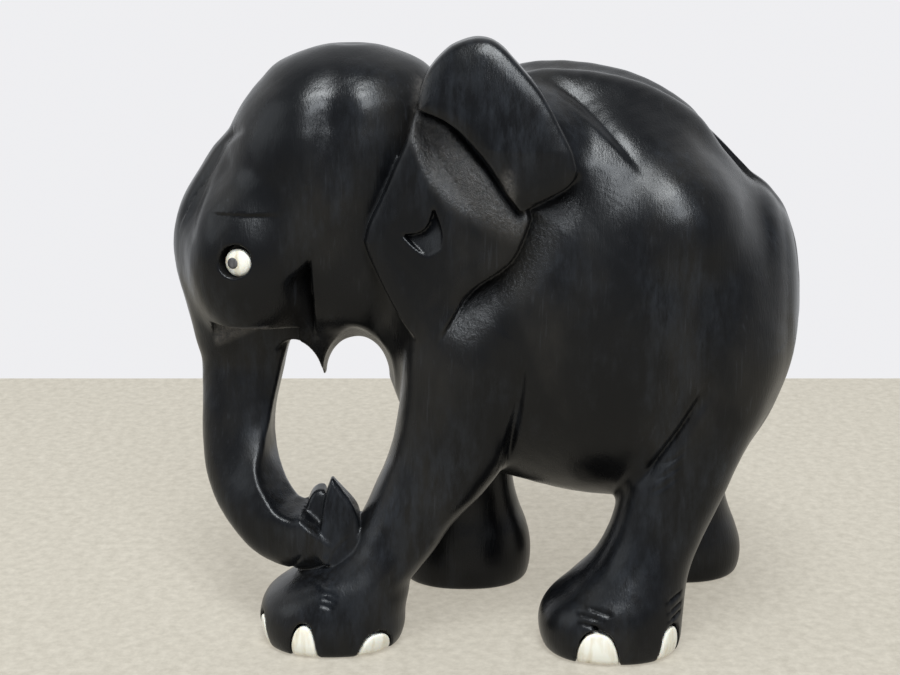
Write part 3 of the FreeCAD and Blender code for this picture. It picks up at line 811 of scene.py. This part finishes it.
def eye_line(x, y, z):
    """The cheek's upper edge: the cheek is set back a little below a straight line over the eye."""
    under = 91.0 - z
    along = ease(y, -58, -54) * ease(-41 - y, 0, 6)
    return 0.55 * np.exp(-np.clip(under, 0, None) / 3.5) * ease(under, -0.3, 0.3) * along


def brow_valley(x, y, z):
    """The shallow upright valley that parts the two swellings of the brow."""
    return 1.7 * bump(y, -31.8, 4.6) * bump(z, 110, 11) * ease(np.abs(x), 4, 12)


def temple_valley(x, y, z):
    """The hollow between the trunk's root and the brow, from the forehead's notch to the eye."""
    middle = np.interp(z, [85, 89, 95.4, 103.6, 107], [-61.3, -60.9, -58.6, -55.2, -51])
    width = np.where(y < middle, 2.8, 0.9)
    return 1.2 * bump(y, middle, width) * ease(z, 83, 90) * ease(np.abs(x), 3, 8) * ease(109 - z, 0, 5)


def hand_worked(x, y, z):
    """The slight unevenness that knife and rasp leave."""
    broad = np.sin(0.62 * x + 1.7 * np.sin(0.21 * y)) * np.sin(0.55 * y + 1.4 * np.sin(0.17 * z))
    broad *= np.sin(0.48 * z + 0.9)
    close = np.sin(1.15 * y + 0.8 * x + 2.0 * np.sin(0.3 * z)) * np.sin(0.95 * z - 0.7 * x + 1.3)
    return 0.045 * broad + 0.015 * close


def carving(x, y, z):
    """The whole carving's field at many points."""
    block = Block(x, y, z)
    add_body_masses(block)
    add_head(block)
    carve_arch(block)
    add_legs(block)
    add_trunk(block)
    add_ears(block)
    add_tail(block)
    carve_recesses(block)
    carve_sockets(block)
    cut_details(block)
    return soft_max(block.field + hand_worked(x, y, z) * ease(z, 2, 12), -z, 0.6)


# ---------------------------------------------------------------------------- from field to mesh


def mesh_from_field(name, field, low, high, voxel):
    """Meshes a field's surface inside a box. Blocks that the surface can't reach are skipped."""
    low, high = np.array(low, float), np.array(high, float)
    blocks = np.ceil((high - low) / (voxel * BLOCK)).astype(int)
    size = voxel * BLOCK
    grid = np.stack(np.meshgrid(*[np.arange(n) for n in blocks], indexing="ij"), -1).reshape(-1, 3)
    middles = low + (grid + 0.5) * size
    middle_field = field(*middles.T)
    touched = np.abs(middle_field) < size * 1.6
    values = np.empty(blocks * BLOCK, np.float32)
    cap = voxel * 3
    shaped = values.reshape(blocks[0], BLOCK, blocks[1], BLOCK, blocks[2], BLOCK)
    signs = np.sign(middle_field).reshape(blocks)
    shaped[:] = (signs * cap)[:, None, :, None, :, None]
    steps = (np.arange(BLOCK) + 0.5) * voxel
    inner = np.stack(np.meshgrid(steps, steps, steps, indexing="ij"), -1).reshape(-1, 3)
    active = grid[touched]
    for start in range(0, len(active), 1500):
        part = active[start:start + 1500]
        points = (low + part[:, None] * size + inner[None]).reshape(-1, 3)
        found = np.clip(field(*points.T), -cap, cap).reshape(len(part), BLOCK, BLOCK, BLOCK)
        shaped[part[:, 0], :, part[:, 1], :, part[:, 2], :] = found
    volume = openvdb.FloatGrid(background=cap)
    volume.copyFromArray(values)
    points, quads = volume.convertToQuads(isovalue=0.0)
    points = low + (points.astype(float) + 0.5) * voxel
    for _ in range(2):
        points = settle(points, field, voxel)
    mesh = bpy.data.meshes.new(name)
    mesh.vertices.add(len(points))
    mesh.vertices.foreach_set("co", (points * MM).astype(np.float32).ravel())
    mesh.loops.add(quads.size)
    mesh.loops.foreach_set("vertex_index", quads.astype(np.int32).ravel())
    mesh.polygons.add(len(quads))
    mesh.polygons.foreach_set("loop_start", np.arange(0, quads.size, 4, dtype=np.int32))
    mesh.polygons.foreach_set("use_smooth", np.ones(len(quads), bool))
    mesh.update(calc_edges=True)
    mesh.validate()
    piece = bpy.data.objects.new(name, mesh)
    bpy.context.scene.collection.objects.link(piece)
    return piece


def settle(points, field, voxel):
    """Moves points along the field's slope onto its surface, by less than a voxel."""
    step = 0.05
    here = field(*points.T)
    slope = np.empty_like(points)
    for axis in range(3):
        ahead = points.copy()
        ahead[:, axis] += step
        slope[:, axis] = (field(*ahead.T) - here) / step
    steep = np.maximum(np.linalg.norm(slope, axis=1), 0.3)
    move = np.clip(here / steep, -0.6 * voxel, 0.6 * voxel)
    return points - slope / steep[:, None] * move[:, None]


def paint(piece, name, values):
    """Stores one number for every vertex, for the material to read."""
    layer = piece.data.attributes.new(name, "FLOAT", "POINT")
    layer.data.foreach_set("value", values.astype(np.float32))


def weathering_and_shade(x, y, z):
    """Where the carving is dusty, where it is left rough from the knife (a mask that the ebony
    also turns into a painted sheen), and where painted shade takes its sheen away: 0 to 1."""
    from_leaf, from_fold = to_outline(y, z, LEAF), to_outline(y, z, FOLD)
    outside = np.minimum(from_leaf, from_fold)
    ridge = np.interp(y, *np.array(LEAF_RIDGE).T)
    ear_band = ease(z, ridge - 4.5, ridge + 1.5) * ease(from_fold, -0.6, 0.8) * ease(-from_leaf, -1.0, 1.0)
    _, share = to_polyline(y, z, EAR_TRENCH)
    scoop = bump(outside, 4.0, 4.0) * ease(share, 0.02, 0.2) * ease(1 - share, 0.0, 0.3)
    scoop *= ease(outside, 0, 2) * ease(y, -12, -8)
    from_nape, _ = to_polyline(y, z, np.array([(-14.6, 112.0), (-14.0, 116.0), (-12.7, 122.5)]))
    nape = 0.55 * np.exp(-((from_nape / 1.1) ** 2))
    patch_bottom = 61.5 + 0.45 * np.clip(y + 56.5, 0, None)
    under_cheek_patch = ease(z, patch_bottom - 1, patch_bottom + 1) * ease(67.4 - z, 0, 0.5)
    under_cheek_patch *= ease(y, -58, -56.8) * ease(-44.5 - y, 0, 1)
    fold_patch = bump(y, 3.6, 1.3) * ease(z, 93, 96) * ease(104 - z, 0, 6)
    lip = bump(z, 61.5, 4.0) * ease(y, -36, -30) * ease(-17.5 - y, 0, 2) * ease(12 - np.abs(x), 0, 3)
    # Painted shade: the hollow behind the cheek, a line under the fold's lower edge and the toe cut lines
    # lose their sheen, which paints them dark.
    behind_cheek = bump(y, -39.0, 3.0) * bump(z, 70, 7.5) * ease(24 - np.abs(x), 0, 4)
    under_fold = bump(from_fold, 0.9, 1.2) * ease(from_fold, -0.2, 0.4) * ease(-from_leaf, -0.5, 1.5)
    toes = (z < 17) & (x > TOE_CUT_REACH[0])
    cuts = np.zeros(x.shape)
    for cut in TOE_CUTS:
        gap, _ = to_polyline(y[toes], z[toes], np.array(cut))
        cuts[toes] = np.maximum(cuts[toes], np.exp(-((gap / TOE_CUT_WIDTH) ** 2)))
    near = np.abs(x) > 8
    dust = near * np.maximum.reduce([nape, under_cheek_patch, fold_patch, 0.4 * ear_band]) + 0.5 * lip
    # The rough mask also sets a painted sheen in the ebony material.
    rough = near * np.maximum.reduce([ear_band, 0.6 * scoop, under_cheek_patch, 0.7 * fold_patch])
    rough += 0.5 * lip
    # The painted shade mask, which also clears the dust where it lies.
    painted_shade = near * np.maximum.reduce([behind_cheek, under_fold, cuts])
    return dust * (1 - painted_shade), rough, painted_shade


# ---------------------------------------------------------------------------- turned pieces


def turned(name, profile, spot, out, sides=56):
    """A solid turned about an axis: the profile gives radius and height along the axis, and starts
    and ends on it."""
    out = Vector(out).normalized()
    turn = out.to_track_quat("Z", "Y")
    verts = [turn @ Vector((0, 0, profile[0][1]))]
    for radius, height in profile[1:-1]:
        for i in range(sides):
            angle = 2 * math.pi * i / sides
            verts.append(turn @ Vector((radius * math.cos(angle), radius * math.sin(angle), height)))
    verts.append(turn @ Vector((0, 0, profile[-1][1])))
    rings = len(profile) - 2
    faces = [(0, 1 + (i + 1) % sides, 1 + i) for i in range(sides)]
    for ring in range(rings - 1):
        for i in range(sides):
            j = (i + 1) % sides
            low, high = 1 + ring * sides, 1 + (ring + 1) * sides
            faces.append((low + i, low + j, high + j, high + i))
    last = len(verts) - 1
    top = 1 + (rings - 1) * sides
    faces += [(top + i, top + (i + 1) % sides, last) for i in range(sides)]
    mesh = bpy.data.meshes.new(name)
    mesh.from_pydata([(v + Vector(spot)) * MM for v in verts], [], faces)
    for polygon in mesh.polygons:
        polygon.use_smooth = True
    piece = bpy.data.objects.new(name, mesh)
    bpy.context.scene.collection.objects.link(piece)
    return piece


# ---------------------------------------------------------------------------- materials


def new_material(name):
    material = bpy.data.materials.new(name)
    material.use_nodes = True
    return material, material.node_tree.nodes, material.node_tree.links


def grain(nodes, links, scale, stretch=(1, 1, 1), detail=4.0, roughness=0.55):
    """A noise pattern that rides on the piece, in pattern cells per metre."""
    place = nodes.new("ShaderNodeTexCoord")
    fit = nodes.new("ShaderNodeMapping")
    fit.inputs["Scale"].default_value = [scale * s for s in stretch]
    noise = nodes.new("ShaderNodeTexNoise")
    noise.inputs["Scale"].default_value = 1.0
    noise.inputs["Detail"].default_value = detail
    noise.inputs["Roughness"].default_value = roughness
    links.new(place.outputs["Object"], fit.inputs["Vector"])
    links.new(fit.outputs["Vector"], noise.inputs["Vector"])
    return noise.outputs["Fac"]


def ramp(nodes, links, source, stops):
    """A colour ramp: stops are place and colour."""
    node = nodes.new("ShaderNodeValToRGB")
    while len(node.color_ramp.elements) < len(stops):
        node.color_ramp.elements.new(0.5)
    for element, (place, colour) in zip(node.color_ramp.elements, stops):
        element.position = place
        element.color = (*colour, 1)
    links.new(source, node.inputs["Fac"])
    return node.outputs["Color"]


def span(nodes, links, source, low, high, new_low, new_high):
    node = nodes.new("ShaderNodeMapRange")
    for key, value in zip(("From Min", "From Max", "To Min", "To Max"), (low, high, new_low, new_high)):
        node.inputs[key].default_value = value
    links.new(source, node.inputs["Value"])
    return node.outputs["Result"]


def raise_surface(nodes, links, height, distance, strength, below=None):
    node = nodes.new("ShaderNodeBump")
    node.inputs["Distance"].default_value = distance
    node.inputs["Strength"].default_value = strength
    links.new(height, node.inputs["Height"])
    if below is not None:
        links.new(below, node.inputs["Normal"])
    return node.outputs["Normal"]


def painted(nodes, name):
    node = nodes.new("ShaderNodeAttribute")
    node.attribute_name = name
    return node.outputs["Fac"]


def combine(nodes, links, operation, a, b):
    node = nodes.new("ShaderNodeMath")
    node.operation = operation
    node.use_clamp = True
    for socket, value in zip(node.inputs, (a, b)):
        if isinstance(value, float):
            socket.default_value = value
        else:
            links.new(value, socket)
    return node.outputs["Value"]


def mix_colour(nodes, links, factor, a, b):
    node = nodes.new("ShaderNodeMix")
    node.data_type = "RGBA"
    links.new(factor, node.inputs["Factor"])
    for key, value in (("A", a), ("B", b)):
        if isinstance(value, tuple):
            node.inputs[key].default_value = (*value, 1)
        else:
            links.new(value, node.inputs[key])
    return node.outputs["Result"]


def ebony():
    """Oiled ebony: near-black heartwood with faint brown and blue-grey clouds, upright pores, the
    fine scratches of a rubbed finish, pale dust in the creases, rougher knife-cut patches with a painted
    sheen, and painted shade that takes the sheen from hollows and cut lines."""
    material, nodes, links = new_material("ebony")
    shader = nodes["Principled BSDF"]
    clouds = grain(nodes, links, 60, (1, 1, 0.5), 6)
    colour = ramp(nodes, links, clouds, [
        (0.34, (0.0016, 0.0019, 0.0026)),
        (0.50, (0.0030, 0.0032, 0.0037)),
        (0.66, (0.0108, 0.0101, 0.0093)),
    ])
    haze = grain(nodes, links, 32, (1, 1, 0.7), 8, 0.65)
    hazy = combine(nodes, links, "MULTIPLY", span(nodes, links, haze, 0.48, 0.66, 0.0, 1.0),
                   span(nodes, links, grain(nodes, links, 420, (1, 1, 0.25), 4, 0.7), 0.40, 0.62, 0.0, 1.0))
    colour = mix_colour(nodes, links, hazy, colour, (0.0155, 0.0175, 0.0210))
    speckle = grain(nodes, links, 900, detail=5, roughness=0.7)
    patchy = span(nodes, links, speckle, 0.35, 0.62, 0.1, 1.0)
    dusty = combine(nodes, links, "MULTIPLY", painted(nodes, "dust"), patchy)
    colour = mix_colour(nodes, links, dusty, colour, (0.082, 0.075, 0.068))
    scratches = grain(nodes, links, 1500, (1, 1, 0.05), 2)
    worn = combine(nodes, links, "MULTIPLY", span(nodes, links, clouds, 0.45, 0.7, 0.0, 0.5),
                   span(nodes, links, scratches, 0.60, 0.72, 0.0, 1.0))
    colour = mix_colour(nodes, links, worn, colour, (0.030, 0.032, 0.036))
    links.new(colour, shader.inputs["Base Color"])
    wear = grain(nodes, links, 110, (1, 1, 0.35), 6)
    sheen = span(nodes, links, wear, 0.3, 0.7, 0.23, 0.37)
    matt = combine(nodes, links, "MULTIPLY", painted(nodes, "rough"), 0.12)
    links.new(combine(nodes, links, "ADD", sheen, matt), shader.inputs["Roughness"])
    # Painted sheen: the rough patches get a higher specular level, which paints them brighter.
    painted_sheen = combine(nodes, links, "MULTIPLY", painted(nodes, "rough"), 0.4)
    shine = combine(nodes, links, "ADD", painted_sheen, 0.24)
    # Painted shade: where the painted shade mask is full, the specular level falls to 0.12 of itself, which
    # paints the spot dark.
    painted_shade_factor = span(nodes, links, painted(nodes, "painted_shade"), 0, 1, 1.0, 0.12)
    links.new(combine(nodes, links, "MULTIPLY", shine, painted_shade_factor), shader.inputs["Specular IOR Level"])
    pores = grain(nodes, links, 2600, (1, 1, 0.08), 2)
    rubbing = grain(nodes, links, 1300, (1, 1, 0.12), 3)
    normal = raise_surface(nodes, links, pores, 0.00006, 0.6)
    normal = raise_surface(nodes, links, rubbing, 0.00006, 0.4, normal)
    stipple = combine(nodes, links, "MULTIPLY", speckle, painted(nodes, "rough"))
    normal = raise_surface(nodes, links, stipple, 0.0007, 0.9, normal)
    links.new(normal, shader.inputs["Normal"])
    return material


def bone():
    """Polished bone: warm white, with brown specks and faint lengthwise streaks."""
    material, nodes, links = new_material("bone")
    shader = nodes["Principled BSDF"]
    streaks = grain(nodes, links, 500, (1, 1, 0.2))
    colour = ramp(nodes, links, streaks, [
        (0.25, (0.40, 0.32, 0.20)), (0.40, (0.72, 0.67, 0.54)), (0.55, (0.84, 0.82, 0.73))])
    links.new(colour, shader.inputs["Base Color"])
    shader.inputs["Roughness"].default_value = 0.35
    shader.inputs["Subsurface Weight"].default_value = 0.15
    shader.inputs["Subsurface Radius"].default_value = (0.002, 0.0015, 0.001)
    links.new(raise_surface(nodes, links, streaks, 0.00005, 0.3), shader.inputs["Normal"])
    return material


def pupil_wood():
    material, nodes, links = new_material("pupil")
    shader = nodes["Principled BSDF"]
    fibres = grain(nodes, links, 1500, (1, 1, 0.3))
    colour = ramp(nodes, links, fibres, [(0.3, (0.035, 0.033, 0.034)), (0.7, (0.10, 0.095, 0.095))])
    links.new(colour, shader.inputs["Base Color"])
    shader.inputs["Roughness"].default_value = 0.5
    links.new(raise_surface(nodes, links, fibres, 0.00005, 0.5), shader.inputs["Normal"])
    return material


EBONY, BONE, PUPIL = ebony(), bone(), pupil_wood()

# ---------------------------------------------------------------------------- the pieces


def place(piece, node, material, slot):
    """Gives a piece its material, and lets it stand for a CAD node."""
    piece.data.materials.append(material)
    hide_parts(node)
    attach(piece, "root")
    return piece


CARVING_LOW, CARVING_HIGH = (-44, -72, -3), (44, 73, 132)
elephant = mesh_from_field("elephant_carving", carving, CARVING_LOW, CARVING_HIGH, VOXEL)
surface = np.empty(3 * len(elephant.data.vertices), np.float32)
elephant.data.vertices.foreach_get("co", surface)
# Dust, roughness (which the ebony also turns into a painted sheen) and painted shade, one number for each
# vertex.
wear = weathering_and_shade(*(surface.reshape(-1, 3).T / MM))
for wear_name, amounts in zip(("dust", "rough", "painted_shade"), wear):
    paint(elephant, wear_name, amounts)
place(elephant, "carved_body", EBONY, "ebony")

NAIL_VOXEL = 0.3
for foot_name, (leg, side, nails) in FEET.items():
    for toe, nail in nails.items():
        field, (low, high) = nail_field(leg, side, nail)
        piece = mesh_from_field(f"{foot_name}_{toe}_toenail", field, low - 1, high + 1, NAIL_VOXEL)
        place(piece, f"{foot_name}_{toe}_nail", BONE, "bone")

DISC_PROFILE = [
    (0, -2.6), (2.5, -2.6), (DISC_RADIUS, -2.2), (DISC_RADIUS, -0.7), (DISC_RADIUS - 0.2, -0.42),
    (DISC_RADIUS - 0.6, -0.25), (1.6, -0.08), (0.8, 0.0), (0, 0.02),
]
PUPIL_PROFILE = [(0, -1.2), (1.05, -1.2), (1.15, -0.9), (1.15, -0.02), (1.0, 0.08), (0.5, 0.14), (0, 0.15)]
for side, name in ((LEFT, "left"), (RIGHT, "right")):
    spot, out, forward = eye_axes(side)
    disc_spot = spot - 0.65 * out
    pupil_spot = disc_spot + 0.85 * forward + 0.02 * out
    place(turned(f"{name}_eye", DISC_PROFILE, disc_spot, out), f"{name}_eye_disc", BONE, "bone")
    place(turned(f"{name}_eye_pupil", PUPIL_PROFILE, pupil_spot, out), f"{name}_pupil", PUPIL, "pupil")

# ---------------------------------------------------------------------------- floor, light, camera


FLOOR_TONES = [(0.38, 0.35, 0.29), (0.50, 0.465, 0.395)]
FLOOR_GLOW = 0.65  # how much of the floor's light is its own, which keeps the shadows light


def make_floor():
    """A pale floor that stops a little behind the elephant, where the bright wall begins."""
    mesh = bpy.data.meshes.new("floor")
    near, far, side = 0.9, -0.19, 0.9
    corners = [(far, -side, 0), (near, -side, 0), (near, side, 0), (far, side, 0)]
    mesh.from_pydata(corners, [], [(0, 1, 2, 3)])
    piece = bpy.data.objects.new("floor", mesh)
    bpy.context.scene.collection.objects.link(piece)
    material, nodes, links = new_material("floor")
    shader = nodes["Principled BSDF"]
    speckle = grain(nodes, links, 380, detail=8, roughness=0.7)
    for socket, share in (("Base Color", 1 - FLOOR_GLOW), ("Emission Color", 1.4 * FLOOR_GLOW)):
        darker, lighter = [tuple(share * level for level in tone) for tone in FLOOR_TONES]
        links.new(ramp(nodes, links, speckle, [(0.3, darker), (0.7, lighter)]), shader.inputs[socket])
    shader.inputs["Emission Strength"].default_value = 1.0
    shader.inputs["Roughness"].default_value = 0.9
    mesh.materials.append(material)


def make_room():
    """The light from all round: a bright wall behind the elephant, and a dimmer room in front."""
    world = bpy.data.worlds.new("studio")
    world.use_nodes = True
    nodes, links = world.node_tree.nodes, world.node_tree.links
    background = nodes["Background"]
    place = nodes.new("ShaderNodeTexCoord")
    split = nodes.new("ShaderNodeSeparateXYZ")
    links.new(place.outputs["Generated"], split.inputs["Vector"])
    along = span(nodes, links, split.outputs["X"], -1, 1, 0, 1)
    level = ramp(nodes, links, along, [
        (0.36, (0.92, 0.94, 0.97)), (0.54, (0.56, 0.58, 0.62)), (0.72, (0.36, 0.38, 0.42))])
    upper = ramp(nodes, links, along, [
        (0.33, (0.90, 0.92, 0.95)), (0.45, (0.40, 0.42, 0.45)),
        (0.56, (0.20, 0.22, 0.25)), (0.75, (0.28, 0.31, 0.35))])
    room = mix_colour(nodes, links, span(nodes, links, split.outputs["Z"], 0.35, 0.75, 0, 1), level, upper)
    path = nodes.new("ShaderNodeLightPath")
    mix = nodes.new("ShaderNodeMix")
    mix.data_type = "RGBA"
    links.new(path.outputs["Is Camera Ray"], mix.inputs["Factor"])
    links.new(room, mix.inputs["A"])
    mix.inputs["B"].default_value = (0.86, 0.86, 0.88, 1)
    links.new(mix.outputs["Result"], background.inputs["Color"])
    bpy.context.scene.world = world


def make_lamp(name, spot, aim, size, power, colour=(1, 1, 1)):
    data = bpy.data.lights.new(name, "AREA")
    data.shape = "DISK"
    data.size = size
    data.energy = power
    data.color = colour
    lamp = bpy.data.objects.new(name, data)
    lamp.location = spot
    lamp.rotation_euler = (Vector(aim) - Vector(spot)).to_track_quat("-Z", "Y").to_euler()
    bpy.context.scene.collection.objects.link(lamp)


def make_camera():
    data = bpy.data.cameras.new("camera")
    data.lens = 80
    data.sensor_width = 36
    camera = bpy.data.objects.new("camera", data)
    camera.location = Vector((419.6, -7.7, 165.3)) * MM
    camera.rotation_euler = (math.radians(90 - 14.0), 0, math.radians(90))
    bpy.context.scene.collection.objects.link(camera)
    bpy.context.scene.camera = camera


make_floor()
make_room()
make_lamp("overhead", (0.45, -0.03, 0.95), (0, -0.01, 0.09), 0.34, 8.5, (0.94, 0.98, 1.0))
make_lamp("window", (0.25, -0.85, 0.55), (0, -0.02, 0.07), 0.7, 1.8, (0.90, 0.96, 1.0))
make_lamp("skylight", (0.71, 0.13, 0.72), (0, 0.0, 0.08), 0.36, 5.0, (0.90, 0.95, 1.0))
make_camera()
bpy.context.scene.view_settings.view_transform = "Standard"
